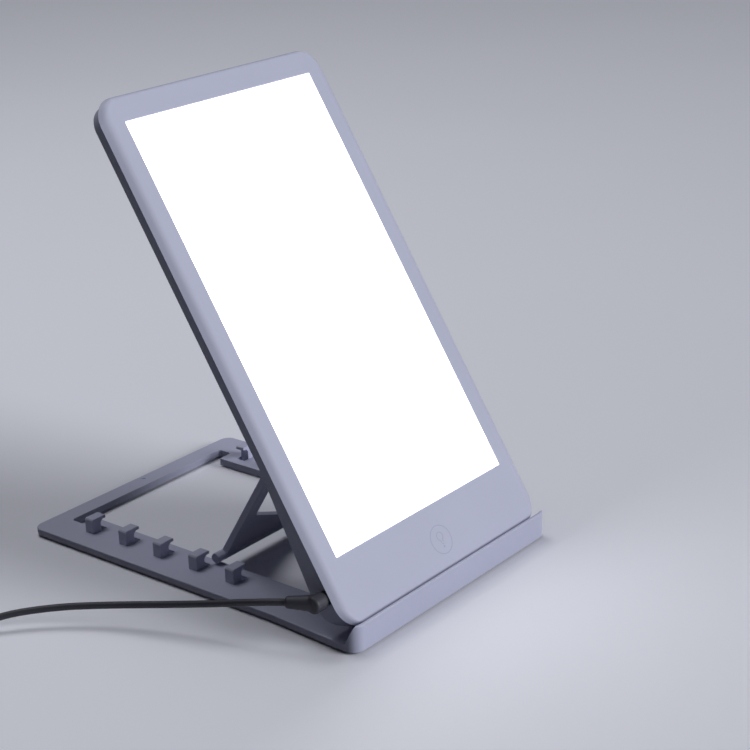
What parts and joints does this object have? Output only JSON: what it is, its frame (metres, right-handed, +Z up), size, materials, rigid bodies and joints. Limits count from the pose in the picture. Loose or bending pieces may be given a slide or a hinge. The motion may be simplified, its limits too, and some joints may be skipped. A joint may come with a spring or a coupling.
{
  "type": "light therapy lamp",
  "caption": "Tilting light therapy panel on an open flat base with a front lip, rear kickstand with stepped stops, low-voltage plug, cord and wall adapter.",
  "frame": {"origin": "on the surface the lamp stands on, under the middle of the base", "axes": "+X along the front edge to the right as seen from the front, +Y to the rear, +Z up"},
  "size_m": [0.2855, 0.2815, 0.2419],
  "materials": {
    "lamp_plastic": "fine satin, off-white",
    "diffuser_opal": "opal, lit from behind when the lamp is on",
    "foot_rubber": "matte",
    "pin_steel": "turned",
    "washer_nylon": "smooth",
    "cord_jacket": "satin, soft PVC",
    "adapter_plastic": "fine texture",
    "prong_metal": "nickel plated",
    "circuit_board": "solder mask",
    "component_black": "moulded",
    "reflector_white": "white film",
    "guide_acrylic": "clear acrylic",
    "gasket_foam": "foam",
    "strip_white": "solder mask",
    "led_yellow": "phosphor",
    "carrier_aluminium": "extruded",
    "lead_red": "insulated wire"
  },
  "bodies": {
    "base": {"adapter_board": "circuit_board", "adapter_case": "adapter_plastic", "adapter_components": "component_black", "adapter_cover": "adapter_plastic", "adapter_lead": "cord_jacket", "adapter_prongs": "prong_metal", "adapter_relief": "cord_jacket", "base_feet": "foot_rubber", "base_frame": "lamp_plastic", "cord_coil": "cord_jacket", "cord_tie": "cord_jacket", "friction_washers": "washer_nylon", "power_cord": "cord_jacket", "stop_rack_left": "lamp_plastic", "stop_rack_right": "lamp_plastic", "tilt_pins": "pin_steel"},
    "panel": {"dc_jack": "component_black", "diffuser": "diffuser_opal", "diffuser_gasket": "gasket_foam", "driver_board": "circuit_board", "driver_components": "component_black", "front_bezel": "lamp_plastic", "led_carriers": "carrier_aluminium", "led_chips": "led_yellow", "led_strips": "strip_white", "leg_pins": "pin_steel", "light_guide": "guide_acrylic", "panel_screws": "pin_steel", "plug_barrel": "prong_metal", "plug_body": "cord_jacket", "rear_shell": "lamp_plastic", "reflector_sheet": "reflector_white", "strip_leads": "lead_red", "touch_board": "circuit_board", "touch_header": "component_black"},
    "leg": {"leg_frame": "lamp_plastic"}
  },
  "joints": [
    {"name": "panel_tilt", "type": "hinge", "parent": "base", "child": "panel", "pos_m": [0, -0.0941, 0.0083], "axis": [1, 0, 0], "range_deg": [-58.6, 9]},
    {"name": "leg_swing", "type": "hinge", "parent": "panel", "child": "leg", "pos_m": [0, -0.04994, 0.08679], "axis": [1, 0, 0], "range_deg": [-17.6, 114]}
  ],
  "couplings": [
    {"joint": "leg_swing", "follows": "panel_tilt", "ratio": -1.944}
  ]
}
